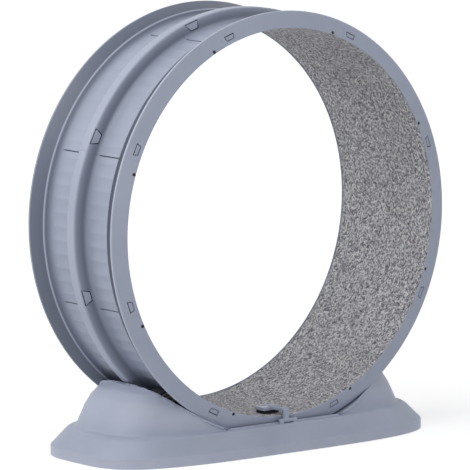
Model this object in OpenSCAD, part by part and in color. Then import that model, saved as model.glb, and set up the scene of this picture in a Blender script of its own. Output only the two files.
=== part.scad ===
// Cat exercise wheel: a segmented running wheel with a carpet tread,
// carried on four rollers in a moulded base, with a flip-over stop lever.
// Z is up, the wheel turns about an axis along Y, the lever is at the
// front (-Y). The origin is on the floor under the middle of the base.

/* [Wheel] */
// Outer radius of the two flanges
wheel_r = 500; // [490:1:510]
// Width over the flanges at their inner edges
wheel_w = 343.5; // [330:0.5:350]
// Height of the flanges above the running surface, on top of the carpet
flange_h = 40; // [38:0.5:44]
// Thickness of the carpet
carpet_t = 4; // [3:0.5:5]
// Width of the lip that covers the carpet's edge
lip_w = 3; // [2:0.5:5]
// How far the flange's outer edge sits back from its inner edge
flange_dish = 10; // [6:0.5:14]
// Width of the flange's crest
crest_w = 4.5; // [3.5:0.5:6]
// Rounding of the crest's two edges
crest_round = 1.5; // [0.5:0.5:2]
// Depth of the channels under the flanges' crests
channel_d = 30; // [28:0.5:31]
// Width of each flange at the height of the channel floor
flange_foot_w = 60; // [56:0.5:62]
// Height of the bend in the flange's sloping wall, above the channel floor
bend_h = 13.6; // [11:0.2:16]
// How far that bend lies outwards from the channel's edge
bend_run = 11.5; // [9:0.5:14]
// Rounding of the bend
bend_round = 2; // [0.5:0.5:4]
// How much lower the middle rib's top is than the flanges' crests
rib_drop = 2; // [1:0.5:5]
// Width of the rib's top
rib_top_w = 30; // [26:1:36]
// Width of the rib's foot
rib_foot_w = 55; // [50:1:60]
// Rounding of the rib's top corners
rib_round = 6; // [3:0.5:8]
// Hollow at the foot of the rib and of the flange walls
foot_round = 14; // [10:1:16]
// Wall thickness of the hollow rib and flanges
skin_t = 3.5; // [3:0.1:4]

/* [Segments] */
// Number of segments round the wheel
segments = 8; // [8:1:8]
// Angle of the first seam, clockwise from the top
seam_angle = 22.5; // [15:0.5:30]
// Gap between neighbouring segments
seam_gap = 0.6; // [0.4:0.1:0.9]
// Width of the groove cut in each segment's end, on the channel floors
groove_w = 1.2; // [0.8:0.1:2]
// Depth of that groove
groove_d = 2.5; // [1.5:0.1:3]
// Length of the splices inside the rib and flanges, along the rim
splice_len = 124; // [120:1:130]
// Clearance of a splice in its hollow
splice_fit = 0.3; // [0.2:0.1:0.4]
// Distance from a seam to the middle of its flange keys, along the rim
key_offset = 25.3; // [24:0.1:28]
// Height of a flange key's middle above the running surface
key_up = 15; // [14:0.5:18]
// Long side of a flange key's window
key_long = 29; // [24:1:32]
// Short side of a flange key's window
key_short = 21.5; // [17:0.5:24]
// Height of a flange key's window
key_h = 12; // [9:0.5:13]
// Distance from a seam to the middle of its rib keys, along the rim
rib_key_offset = 37.3; // [35:0.1:38]
// Long side of a rib key's window
rib_key_long = 41; // [34:1:43]
// Short side of a rib key's window
rib_key_short = 24; // [20:1:28]
// Height of a rib key's window, down the rib's flank
rib_key_h = 20.4; // [16:0.2:20.6]
// Gap round a key in its window
key_gap = 1.5; // [0.4:0.1:2]
// Distance from a seam to the pin beside it, along the rim
pin_offset = 30.7; // [28:0.1:34]
// Radius of the rim pins
pin_r = 2.4; // [2:0.1:2.8]
// Width of flange left between a pin's hole and the inner edge
pin_edge = 0.8; // [0.6:0.1:1.5]
// How deep the rim pins are sunk
pin_sink = 0.5; // [0.3:0.1:0.8]
// Clearance round a rim pin
pin_fit = 0.4; // [0.2:0.1:0.5]

/* [Base] */
// Height of the wheel's lowest point above the floor
wheel_clear = 43; // [42:0.5:46]
// How much shorter the base is than the wheel at each end
base_short = 13; // [5:1:20]
// How far the base reaches past the wheel at the front and the back
base_out = 40.25; // [39:0.25:44]
// Height of the shell's rim above the floor
rim_z = 1; // [0.5:0.1:1.5]
// Wall thickness of the shell
shell_t = 4; // [3:0.5:4.5]
// Height of the near-upright lip round the bottom
lip_h = 26; // [22:1:28]
// Height of the shelf round the cradle
shelf_h = 67; // [65:0.5:69]
// Height of the cradle's top
cradle_h = 178; // [176:1:182]
// Distance from the base's end in to the cradle's foot
skirt_run = 56; // [53:1:62]
// Distance from the base's front in to the cradle's foot
skirt_front = 30; // [29:0.5:31]
// Gap between the wheel's flanges and the saddle under them
saddle_gap = 5; // [4:0.5:7]
// Gap between each flange and the wall of the trough
trough_gap = 4; // [3:0.5:4.5]
// Height of the bottom plate's underside above the shell's rim
plate_up = 1; // [0.5:0.1:1.5]
// Thickness of the bottom plate
plate_t = 3; // [2:0.5:4]
// Gap round the bottom plate, inside the shell
plate_gap = 0.4; // [0.2:0.1:0.8]
// Height of the ribs on the bottom plate
plate_rib_h = 12; // [6:1:14]
// Thickness of those ribs
plate_rib_t = 3; // [2:0.5:4]
// Radius of the rubber feet
foot_r = 18; // [12:1:20]
// How deep the feet sit in the bottom plate
foot_sink = 1.5; // [1:0.1:1.8]
// Radius of the shell's screw bosses
boss_r = 7; // [6:0.5:8]
// Height of the bosses' tops above the floor
boss_top = 58; // [50:1:60]
// Radius of the base screws
screw_r = 2; // [1.5:0.1:2.5]
// Length of the base screws under the head
screw_len = 20; // [14:1:24]
// Radius of the screw heads
head_r = 4; // [3.2:0.1:4.4]
// Thickness of the screws' heads
head_t = 1.6; // [1:0.1:1.8]
// Clearance round a screw in its hole
screw_fit = 0.05; // [0.02:0.01:0.1]

/* [Rollers] */
// Radius of a roller over its tyre
roller_r = 30; // [29:0.5:31]
// Room between each end of a roller and the sides of its channel
roller_side = 19; // [18:0.5:22]
// Angle of the rollers from the bottom of the wheel
roller_angle = 35; // [34:0.5:36]
// Gap between a tyre and the channel floor
roller_gap = 0.3; // [0.2:0.05:0.5]
// Thickness of the tyre
tyre_t = 6; // [4:0.5:7]
// Rounding of the tyre's edges
tyre_round = 2; // [1:0.5:3]
// Radius of the axles
axle_r = 4; // [3.5:0.1:4.5]
// Running clearance round an axle, on the radius
axle_fit = 0.05; // [0.02:0.01:0.1]
// Outer radius of the ball bearings
bearing_r = 11; // [9:0.5:13]
// Width of the ball bearings
bearing_w = 7; // [5:0.5:9]
// Gap at each end of a roller
side_gap = 1.3; // [1.3:0.1:2]
// Thickness of the washers on the axles
washer_t = 1; // [0.6:0.1:1]
// Radius of the washers
washer_r = 6.5; // [6:0.5:8]
// Gap between a bracket's cheeks and the sides of its well in the saddle
well_gap = 1; // [0.8:0.1:1.5]
// Thickness of a bracket's cheeks and floor
bracket_t = 3; // [2:0.5:4]
// Half width of a bracket along the rim
bracket_half = 12; // [10:1:14]
// Length of a bracket's side tabs
tab_len = 13; // [12:0.5:14]
// Room under a roller in its bracket
bracket_room = 3; // [2:0.5:5]
// Radius of the bracket screws
tab_screw_r = 1.6; // [1.2:0.1:2]
// Thickness of the retaining clips
clip_t = 1; // [0.6:0.1:1.4]
// Radius of the retaining clips
clip_r = 7; // [6:0.5:8]
// Length of axle beyond each clip
axle_end = 1; // [0.5:0.1:2]

/* [Stop lever] */
// Height of the lever's pivot above the shelf
pivot_h = 6.5; // [6:0.1:8]
// Depth of the ears, front to back
ear_d = 9.4; // [8:0.1:9.6]
// Gap between the ears and the trough
ear_back = 0.6; // [0.4:0.1:0.8]
// Width of each ear
ear_w = 12; // [9:1:14]
// Radius of the pivot pin
pivot_r = 2.2; // [2:0.1:2.6]
// Length of the pin beyond each ear
pivot_end = 1; // [0.5:0.1:2]
// Radius of the lever's barrel
barrel_r = 4.6; // [4:0.1:4.8]
// Length of the barrel between the ears
barrel_w = 28; // [24:1:32]
// How far the barrel's middle lies to the right of the lever
barrel_shift = 5.5; // [3:0.5:5.5]
// Gap between the barrel and each ear
ear_gap = 0.3; // [0.2:0.05:0.5]
// Width of the lever's post
post_w = 14; // [10:1:16]
// Thickness of the lever's post and arm
post_t = 8; // [6:0.5:8.5]
// Height of the arm's top above the running surface
arm_h = 21; // [20:0.5:24]
// Fall of the arm towards its end
arm_fall = 3; // [1:0.5:4]
// Reach of the arm past the pivot
arm_len = 64; // [60:1:70]
// Width of the arm
arm_w = 17; // [14:1:20]
// Depth of the finger rest in the arm
rest_d = 1.2; // [0.6:0.1:2]
// Rim left round the finger rest
rest_rim = 2.5; // [2:0.5:4]
// Width of the lever's shoe plate, along the rim
shoe_w = 54; // [46:1:60]
// Length of the shoe plate, across the rim
shoe_l = 38; // [34:1:44]
// How far the shoe plate reaches past the arm's end
shoe_past = 24; // [20:1:26]
// Thickness of the shoe plate
shoe_t = 8; // [6:0.5:9]
// Height of the shoe plate's top above the running surface
shoe_up = 16; // [15:0.5:17]
// Rounding of the shoe plate's corners
shoe_round = 5; // [3:0.5:8]
// Length of the slot in the shoe plate
slot_l = 33; // [24:1:36]
// Width of the slot
slot_w = 5; // [4:0.5:6]
// Depth of the slot
slot_d = 3; // [2:0.5:3.5]
// Gap between the brake pad and the carpet
pad_gap = 0.5; // [0.4:0.1:1]
// Distance of the pad's edges inside the shoe plate's edges
pad_in = 3; // [2:0.5:5]

/* [Hidden] */
$fn = 96;
over = 1;                                    // overrun of a cut
step = 360 / segments;                       // angle of one segment
axis_z = wheel_clear + wheel_r;              // height of the wheel's axis
half_w = wheel_w / 2;
tread_r = wheel_r - flange_h;
floor_r = wheel_r - channel_d;
rib_r = wheel_r - rib_drop;
floor_edge = half_w - flange_foot_w;         // half distance between the channels' outer edges
bend_r = floor_r + bend_h;
bend_y = floor_edge + bend_run;
rim_in = tread_r + carpet_t;                 // inside of the segments, behind the carpet
dish_slope = flange_dish / (wheel_r - tread_r);
tip_front = half_w - flange_dish;
tip_back = tip_front - crest_w;
channel_y = (rib_foot_w / 2 + floor_edge) / 2;   // middle of a channel
channel_flat = floor_edge - rib_foot_w / 2 - foot_round;
roller_w = floor_edge - rib_foot_w / 2 - 2 * roller_side;
base_a = wheel_r - base_short;                   // half length of the base
base_b = half_w + base_out;                      // half depth of the base
cradle_a = base_a - skirt_run;
cradle_b = base_b - skirt_front;
saddle_r = wheel_r + saddle_gap;
trough_y = half_w + trough_gap;
roller_rho = floor_r + roller_gap + roller_r;    // from the wheel's axis to a roller's
hub_r = roller_r - tyre_t;
cheek_in = roller_w / 2 + side_gap;
cheek_out = cheek_in + bracket_t;
tab_rho = saddle_r + shell_t;                    // a bracket's tabs lie under the saddle's skin
tab_y = cheek_out + tab_len / 2;
pivot_y = -(trough_y + ear_back + ear_d / 2);
pivot_z = shelf_h + pivot_h;
tread_z = axis_z - tread_r;                      // the running surface at its lowest
plate_z = rim_z + plate_up;                      // underside of the bottom plate
rim_round = shell_t / 3;                         // rounding of the shell's bottom edge
base_power = 3.6;                                // squareness of the base's outline
cradle_power = 3.2;                              // squareness of the cradle's outline
ring_points = 56;                                // points round each ring of the base
boss_shares = [[0.2, 0.885], [0.6, 0.86], [0.88, 0.42]];
foot_shares = [[0, 0.62], [0.78, 0.5]];

// Angle of a length along the rim
function rim_deg(length, r) = length / r * 180 / PI;

// An outline [x, y, rounding] turned into points, with an arc at each rounded corner
function unit(v) = v / norm(v);
function flat(v) = [v.x, v.y];
function arc_points(mid, p, turn, n) = [for (i = [0 : n])
    mid + [p.x * cos(turn * i / n) - p.y * sin(turn * i / n), p.x * sin(turn * i / n) + p.y * cos(turn * i / n)]];
function corner(a, b, c, n) =
    let (u = unit(flat(a) - flat(b)), v = unit(flat(c) - flat(b)),
         half = acos(u * v) / 2,
         reach = min(b.z / tan(half), norm(flat(a) - flat(b)) / 2, norm(flat(c) - flat(b)) / 2),
         mid = flat(b) + unit(u + v) * reach / cos(half),
         side = sign((c.x - b.x) * (a.y - b.y) - (c.y - b.y) * (a.x - b.x)))
    arc_points(mid, flat(b) + u * reach - mid, side * (180 - 2 * half), n);
function rounded(points, n = 4) = [for (i = [0 : len(points) - 1])
    let (a = points[(i + len(points) - 1) % len(points)], b = points[i], c = points[(i + 1) % len(points)])
    each (b.z == 0 ? [flat(b)] : corner(a, b, c, n))];
function reflected(points) = [for (i = [len(points) - 1 : -1 : 0]) [points[i].x, -points[i].y, points[i].z]];

// Section of the rim

flank_slope = (rib_foot_w - rib_top_w) / 2 / (rib_r - floor_r);
low_slope = bend_run / bend_h;
wall_slope = (tip_back - bend_y) / (wheel_r - bend_r);
function face_y(r) = half_w - (r - tread_r) * dish_slope;
function flank_y(r) = rib_top_w / 2 + (rib_r - r) * flank_slope;
function low_y(r) = floor_edge + (r - floor_r) * low_slope;
function wall_y(r) = bend_y + (r - bend_r) * wall_slope;
function slant(slope) = sqrt(1 + slope * slope);

// Outside of one half, as [radius, distance from the middle, rounding]
rim_half = [
    [rib_r, rib_top_w / 2, rib_round],
    [floor_r, rib_foot_w / 2, foot_round],
    [floor_r, floor_edge, foot_round],
    [bend_r, bend_y, bend_round],
    [wheel_r, tip_back, crest_round],
    [wheel_r, tip_front, crest_round],
    [tread_r, half_w, 0],
    [tread_r, half_w - lip_w, 0],
    [rim_in, half_w - lip_w, 0]
];

// Hollow of the rib and of the front flange; a clearance makes the splice that fits inside
function rib_hollow(gap) =
    let (t = skin_t + gap, top = rib_r - t, low = rim_in + t,
         top_y = flank_y(top) - t * slant(flank_slope), low_y = flank_y(low) - t * slant(flank_slope))
    [[top, -top_y], [top, top_y], [low, low_y], [low, -low_y]];
function flange_hollow(gap) =
    let (t = skin_t + gap, low = rim_in + skin_t + t, top = wheel_r - skin_t - t,
         bend = bend_r - t * (slant(wall_slope) - slant(low_slope)) / (wall_slope - low_slope))
    [[low, low_y(low) + t * slant(low_slope)],
     [bend, wall_y(bend) + t * slant(wall_slope)],
     [top, wall_y(top) + t * slant(wall_slope)],
     [top, face_y(top) - t * slant(dish_slope)],
     [low, face_y(low) - t * slant(dish_slope)]];

module rim_section() difference() {
    polygon(rounded(concat(rim_half, reflected(rim_half))));
    polygon(rib_hollow(0));
    for (s = [0, 1]) mirror([0, s, 0]) polygon(flange_hollow(0));
}

// Placing round the wheel

// Turns what stands at the top of the wheel clockwise round its axis
module on_rim(angle) translate([0, 0, axis_z]) rotate([0, angle, 0]) children();
// A stretch of ring with the given section, from one angle over a sweep
module rim_arc(from, sweep)
    on_rim(from + sweep - 90) rotate([90, 0, 0]) rotate_extrude(angle = sweep, $fn = 4 * $fn) children();
// Copies at the same place of every segment
module every_segment() for (i = [0 : segments - 1])
    on_rim(i * step) translate([0, 0, -axis_z]) children();
module both_sides() for (s = [0, 1]) mirror([0, s, 0]) children();
// Frame on a front wall of the rim, X along the rim, Y outwards on the wall, Z out of it
module on_wall(angle, r, y, slope) on_rim(angle) translate([0, -y, r]) rotate([90 - atan(slope), 0, 0]) children();

key_rho = tread_r + key_up;
rib_key_rho = rib_r - skin_t / 2 - rib_key_h / 2 / slant(flank_slope);
pin_rho = tread_r + pin_edge + pin_fit + pin_r;
pin_hole = face_y(pin_rho) - half_w + lip_w + pin_fit;   // a pin's hole goes through the lip
pin_len = pin_hole - pin_sink - 3 / 2 * pin_fit;
module at_flange_key() on_wall(seam_angle + rim_deg(key_offset, key_rho), key_rho, face_y(key_rho), dish_slope)
    children();
module at_rib_key() on_wall(seam_angle + rim_deg(rib_key_offset, rib_key_rho), rib_key_rho,
    flank_y(rib_key_rho), flank_slope) children();
module at_pin() on_rim(seam_angle - rim_deg(pin_offset, pin_rho)) translate([0, -face_y(pin_rho), pin_rho])
    rotate([90, 0, 0]) children();

module keystone(long, short, height) polygon([
    [-short / 2, -height / 2], [short / 2, -height / 2], [long / 2, height / 2], [-long / 2, height / 2]]);
module flange_keystone(gap) keystone(key_long - 2 * gap, key_short - 2 * gap, key_h - 2 * gap);
module rib_keystone(gap) keystone(rib_key_long - 2 * gap, rib_key_short - 2 * gap, rib_key_h - 2 * gap);
module window() translate([0, 0, -skin_t - splice_fit]) linear_extrude(skin_t + splice_fit + over) children();
module key() translate([0, 0, -skin_t]) linear_extrude(skin_t) children();

// Wheel

module rim_segment(index) color("#9aa1b1") {
    first = seam_angle + index * step + rim_deg(seam_gap, floor_r) / 2;
    sweep = step - rim_deg(seam_gap, floor_r);
    groove = rim_deg(groove_w, floor_r);
    difference() {
        rim_arc(first, sweep) rim_section();
        both_sides() on_rim(index * step) translate([0, 0, -axis_z]) {
            at_flange_key() window() flange_keystone(0);
            at_rib_key() window() rib_keystone(0);
            on_rim(step) translate([0, 0, -axis_z]) at_pin()
                translate([0, 0, -pin_hole]) cylinder(r = pin_r + pin_fit, h = pin_hole + over);
        }
        for (at = [first, first + sweep - groove]) rim_arc(at, groove) both_sides()
            translate([floor_r, channel_y]) square([2 * groove_d, channel_flat], center = true);
    }
}

splice_sweep = rim_deg(splice_len, floor_r);
module splices() color("#7d8494") every_segment() rim_arc(seam_angle - splice_sweep / 2, splice_sweep) children();
module rib_splices() splices() polygon(rib_hollow(splice_fit));
module front_flange_splices() splices() polygon(flange_hollow(splice_fit));
module rear_flange_splices() splices() mirror([0, 1, 0]) polygon(flange_hollow(splice_fit));

module rib_keys() color("#a3aaba") every_segment() both_sides() at_rib_key() key() rib_keystone(key_gap);
module front_flange_keys() color("#a3aaba") every_segment() at_flange_key() key() flange_keystone(key_gap);
module rear_flange_keys() color("#a3aaba") every_segment() mirror([0, 1, 0]) at_flange_key() key()
    flange_keystone(key_gap);
module rim_pins() color("#24262b") every_segment() both_sides() at_pin()
    translate([0, 0, -pin_sink - pin_len]) cylinder(r = pin_r, h = pin_len);

module carpet_tread() color("#8c8a88") translate([0, 0, axis_z]) rotate([90, 0, 0])
    rotate_extrude($fn = 4 * $fn)
    translate([tread_r, -half_w + lip_w]) square([carpet_t, wheel_w - 2 * lip_w]);

// Base

// A superellipse of half length a and half depth b
function power_of(v, n) = sign(v) * pow(abs(v), 2 / n);
function outline(a, b, n) = [for (i = [0 : ring_points - 1])
    let (t = 360 * (i + 1 / 2) / ring_points) [a * power_of(cos(t), n), b * power_of(sin(t), n)]];

// Rings of the base's skirt, as shares: [height from lip to shelf, way in from lip to shelf's edge]
skirt_shares = [[0, 0.04], [0.86, 0.76], [0.96, 0.9], [1, 1]];
// Rings of the cradle, as shares of its height, foot length and foot depth
cradle_shares = [[0, 1, 1], [0.2, 0.974, 0.988], [0.44, 0.942, 0.968], [0.66, 0.904, 0.918],
                 [0.84, 0.858, 0.835], [0.94, 0.8, 0.725], [1, 0.71, 0.55]];
shelf_in = 4.5;                                  // width of the shelf's flat at the cradle's foot
skirt_a = base_a - cradle_a - shelf_in;
skirt_b = base_b - cradle_b - shelf_in;

// Rings [height, half length, half depth, squareness] of the base, shrunk by a wall t
function base_rings(t) = concat(
    t == 0 ? [[rim_z, base_a - rim_round, base_b - rim_round, base_power],
              [rim_z + rim_round, base_a, base_b, base_power]]
           : [[-over, base_a - rim_round - t, base_b - rim_round - t, base_power]],
    [[lip_h - rim_round - t, base_a - t, base_b - t, base_power]],
    [for (s = skirt_shares) [lip_h + s[0] * (shelf_h - lip_h) - t,
        base_a - s[1] * skirt_a - t, base_b - s[1] * skirt_b - t, base_power]],
    [for (s = cradle_shares) [shelf_h + s[0] * (cradle_h - shelf_h) - t,
        s[1] * cradle_a - t, s[2] * cradle_b - t, cradle_power]]);

// A closed solid through rings of equal point counts
module ring_stack(rings) {
    n = ring_points;
    last = len(rings) - 1;
    points = [for (r = rings) each [for (p = outline(r[1], r[2], r[3])) [p.x, p.y, r[0]]]];
    sides = [for (k = [0 : last - 1], i = [0 : n - 1])
        let (j = (i + 1) % n) each [[k * n + i, (k + 1) * n + i, k * n + j], [k * n + j, (k + 1) * n + i, (k + 1) * n + j]]];
    polyhedron(points, concat([[for (i = [0 : n - 1]) i]], sides, [[for (i = [n - 1 : -1 : 0]) last * n + i]]));
}

// Space of the wheel in the base, grown by a wall t
module trough(t) {
    translate([0, 0, axis_z]) rotate([90, 0, 0])
        cylinder(r = saddle_r + t, h = 2 * (trough_y + t), center = true, $fn = 4 * $fn);
    intersection() {
        translate([0, 0, axis_z]) rotate([90, 0, 0])
            cylinder(r = saddle_r + t, h = 2 * base_b, center = true, $fn = 4 * $fn);
        translate([-base_a, -base_b, shelf_h - t]) cube([2 * base_a, 2 * base_b, axis_z]);
    }
}
module bosses(r, low, top) for (s = boss_shares, x = [-1, 1], y = [-1, 1])
    translate([x * s[0] * base_a, y * s[1] * base_b, low]) cylinder(r = r, h = top - low);

// Frame at a roller: Y along its axle, Z away from the wheel's axis; side is 1 for right and rear
module at_roller(side_x, side_y) translate([0, side_y * channel_y, axis_z])
    rotate([0, 180 - side_x * roller_angle, 0]) children();
module every_roller() for (x = [-1, 1], y = [-1, 1]) at_roller(x, y) children();
module tab_screw_places() for (y = [-1, 1]) translate([0, y * tab_y, tab_rho]) children();

module base_shell() color("#9aa1b1") difference() {
    ring_stack(base_rings(0));
    trough(0);
    difference() {
        ring_stack(base_rings(shell_t));
        trough(shell_t);
        bosses(boss_r, plate_z + plate_t, boss_top);
    }
    bosses(screw_r + screw_fit, -over, plate_z + screw_len);
    every_roller() {
        translate([-roller_r - bracket_t, -cheek_out - well_gap, saddle_r - over])
            cube([2 * (roller_r + bracket_t), 2 * (cheek_out + well_gap), shell_t + 2 * over]);
        tab_screw_places() translate([0, 0, -7 / 8 * shell_t])
            cylinder(r = tab_screw_r + screw_fit, h = shell_t);
    }
}

plate_a = base_a - rim_round - shell_t - plate_gap;
plate_b = base_b - rim_round - shell_t - plate_gap;
module bottom_plate() color("#4a4e57") difference() {
    union() {
        translate([0, 0, plate_z]) linear_extrude(plate_t) polygon(outline(plate_a, plate_b, base_power));
        for (y = [-1, 1]) translate([-plate_a * 4 / 5, y * plate_b / 3 - plate_rib_t / 2, plate_z])
            cube([2 * plate_a * 4 / 5, plate_rib_t, plate_t + plate_rib_h]);
        for (x = [-1 : 1]) translate([x * plate_a / 2 - plate_rib_t / 2, -plate_b * 3 / 4, plate_z])
            cube([plate_rib_t, 2 * plate_b * 3 / 4, plate_t + plate_rib_h]);
    }
    bosses(screw_r + screw_fit, -over, plate_z + plate_t + over);
    feet(foot_r + plate_gap, -over, plate_z + foot_sink);
}
module feet(r, low, top) for (s = foot_shares, x = s[0] == 0 ? [0] : [-1, 1], y = [-1, 1])
    translate([x * s[0] * base_a, y * s[1] * base_b, low]) cylinder(r = r, h = top - low);
module rubber_feet() color("#2b2c2f") feet(foot_r, 0, plate_z + foot_sink);
module base_screws() color("#b9bcc2") {
    bosses(screw_r, plate_z - head_t / 2, plate_z + screw_len - screw_r / 2);
    bosses(head_r, plate_z - head_t, plate_z);
}

// Rollers

module roller_bracket(side_x, side_y) color("#3b3e45") at_roller(side_x, side_y) {
    bottom = roller_rho + roller_r + bracket_room;
    difference() {
        union() {
            for (y = [-1, 1]) {
                translate([0, y * (cheek_in + bracket_t / 2), roller_rho]) rod_y(bracket_half, bracket_t);
                translate([-bracket_half, y * (cheek_in + bracket_t / 2) - bracket_t / 2, roller_rho])
                    cube([2 * bracket_half, bracket_t, bottom + bracket_t - roller_rho]);
                translate([-bracket_half, y * tab_y - tab_len / 2, tab_rho])
                    cube([2 * bracket_half, tab_len, bracket_t]);
            }
            translate([-bracket_half, -cheek_out, bottom]) cube([2 * bracket_half, 2 * cheek_out, bracket_t]);
        }
        translate([0, 0, roller_rho]) rod_y(axle_r + axle_fit, 2 * (cheek_out + over));
        tab_screw_places() cylinder(r = tab_screw_r + screw_fit, h = 3 * bracket_t, center = true);
    }
}
module rod_y(r, length) rotate([90, 0, 0]) cylinder(r = r, h = length, center = true);
module ring_y(outer, inner, length) rotate([90, 0, 0]) difference() {
    cylinder(r = outer, h = length, center = true);
    cylinder(r = inner, h = length + 2 * over, center = true);
}
module bracket_screws() color("#b9bcc2") every_roller() tab_screw_places() {
    translate([0, 0, bracket_t]) cylinder(r = head_r, h = head_t);
    translate([0, 0, -3 / 4 * shell_t]) cylinder(r = tab_screw_r, h = 3 / 4 * shell_t + bracket_t + head_t / 2);
}
module roller_axles() color("#c3c6cc") every_roller() translate([0, 0, roller_rho])
    rod_y(axle_r, 2 * (cheek_out + clip_t + axle_end));
module axle_clips() color("#8f9299") every_roller() for (y = [-1, 1])
    translate([0, y * (cheek_out + clip_t / 2), roller_rho]) ring_y(clip_r, axle_r, clip_t);
module axle_washers() color("#b9bcc2") every_roller() for (y = [-1, 1])
    translate([0, y * (cheek_in - washer_t / 2), roller_rho]) ring_y(washer_r, axle_r + axle_fit, washer_t);

// Outline of the tyre's and the hub's half sections, as [radius, distance from the middle, rounding]
tyre_half = [[roller_r, roller_w / 2, tyre_round], [hub_r, roller_w / 2, 0]];
web_out = hub_r - tyre_t / 2;
web_in = bearing_r + tyre_t / 2;
hub_half = [
    [hub_r, roller_w / 2, 0], [web_out, roller_w / 2, 0],
    [web_out, roller_w / 6, 0], [web_in, roller_w / 6, 0],
    [web_in, roller_w / 2, 0], [bearing_r, roller_w / 2, 0],
    [bearing_r, roller_w / 2 - bearing_w, 0], [axle_r + washer_t, roller_w / 2 - bearing_w, 0]];
module turned(half) rotate([90, 0, 0]) rotate_extrude() polygon(rounded(concat(half, reflected(half))));
module roller_tyre(side_x, side_y) color("#55585f") at_roller(side_x, side_y)
    translate([0, 0, roller_rho]) turned(tyre_half);
module roller_hub(side_x, side_y) color("#d9d8d2") at_roller(side_x, side_y)
    translate([0, 0, roller_rho]) turned(hub_half);
module roller_bearings(side_x, side_y) color("#b4b7bd") at_roller(side_x, side_y) for (y = [-1, 1])
    translate([0, y * (roller_w / 2 - bearing_w / 2), roller_rho])
    ring_y(bearing_r, axle_r + axle_fit, bearing_w);

// Stop lever

module rod_x(r, from, to) translate([from, 0, 0]) rotate([0, 90, 0]) cylinder(r = r, h = to - from);
barrel_from = barrel_shift - barrel_w / 2;
barrel_to = barrel_shift + barrel_w / 2;
ear_left = barrel_from - ear_gap - ear_w;
ear_right = barrel_to + ear_gap;

module lever_ears() color("#a3aaba") for (x = [ear_left, ear_right]) translate([0, pivot_y, pivot_z]) difference() {
    union() {
        rod_x(ear_d / 2, x, x + ear_w);
        translate([x, -ear_d / 2, -pivot_h]) cube([ear_w, ear_d, pivot_h]);
    }
    rod_x(pivot_r, x - over, x + ear_w + over);
}
module lever_pin() color("#c3c6cc") translate([0, pivot_y, pivot_z])
    rod_x(pivot_r, ear_left - pivot_end, ear_right + ear_w + pivot_end);

arm_top = tread_z + arm_h;
arm_end = pivot_y + arm_len;
arm_start = pivot_y - post_t / 2;
shoe_top = tread_z + shoe_up;
// Side view of the lever's post and arm, as [y, z, rounding]
lever_side = [
    [arm_start, pivot_z, 0], [arm_start + post_t, pivot_z, 0],
    [arm_start + post_t, arm_top - post_t, post_t / 3],
    [arm_end, arm_top - arm_fall - post_t, 0], [arm_end, arm_top - arm_fall, post_t / 4],
    [arm_start, arm_top, post_t]];
// Straight along X, with an outline drawn in Y and Z
module along_x(width) translate([-width / 2, 0, 0]) rotate([90, 0, 90]) linear_extrude(width) children();
module arm_plan(grow, from) translate([0, 0, pivot_z]) linear_extrude(axis_z) polygon(rounded([
    [-arm_w / 2 - grow, from, 0], [arm_w / 2 + grow, from, 0],
    [arm_w / 2 + grow, arm_end + grow, arm_w / 2 + grow], [-arm_w / 2 - grow, arm_end + grow, arm_w / 2 + grow]], 8));
module shoe_block(inset, low, high) translate([0, 0, low]) linear_extrude(high - low) polygon(rounded([
    [-shoe_w / 2 + inset, arm_end + shoe_past - shoe_l + inset, shoe_round],
    [shoe_w / 2 - inset, arm_end + shoe_past - shoe_l + inset, shoe_round],
    [shoe_w / 2 - inset, arm_end + shoe_past - inset, shoe_round],
    [-shoe_w / 2 + inset, arm_end + shoe_past - inset, shoe_round]]));
rest_from = arm_start + 3 / 2 * post_t;
rest_tilt = atan(arm_fall / (arm_end - arm_start));
module stop_lever() color("#a3aaba") difference() {
    union() {
        translate([0, pivot_y, pivot_z]) rod_x(barrel_r, barrel_from, barrel_to);
        along_x(post_w) polygon(rounded(lever_side));
        intersection() {
            along_x(arm_w) polygon(rounded(lever_side));
            arm_plan(0, arm_start + post_t);
        }
        shoe_block(0, shoe_top - shoe_t, shoe_top);
    }
    translate([0, pivot_y, pivot_z]) rod_x(pivot_r + axle_fit, barrel_from - over, barrel_to + over);
    translate([0, rest_from, arm_top - (rest_from - arm_start) * tan(rest_tilt) - rest_d])
        rotate([-rest_tilt, 0, 0]) linear_extrude(post_t) polygon(rounded([
            [-arm_w / 2 + rest_rim, 0, arm_w / 4], [arm_w / 2 - rest_rim, 0, arm_w / 4],
            [arm_w / 2 - rest_rim, arm_end - rest_from - rest_rim, arm_w / 3],
            [-arm_w / 2 + rest_rim, arm_end - rest_from - rest_rim, arm_w / 3]]));
    translate([0, arm_end + shoe_past / 2, shoe_top - slot_d]) linear_extrude(post_t) polygon(rounded([
        [-slot_l / 2, -slot_w / 2, slot_w / 3], [slot_l / 2, -slot_w / 2, slot_w / 3],
        [slot_l / 2, slot_w / 2, slot_w / 3], [-slot_l / 2, slot_w / 2, slot_w / 3]]));
}
module brake_pad() color("#1f2023") intersection() {
    shoe_block(pad_in, tread_z, shoe_top - shoe_t);
    translate([0, 0, axis_z]) rod_y(tread_r - pad_gap, 2 * half_w, $fn = 4 * $fn);
}

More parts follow.
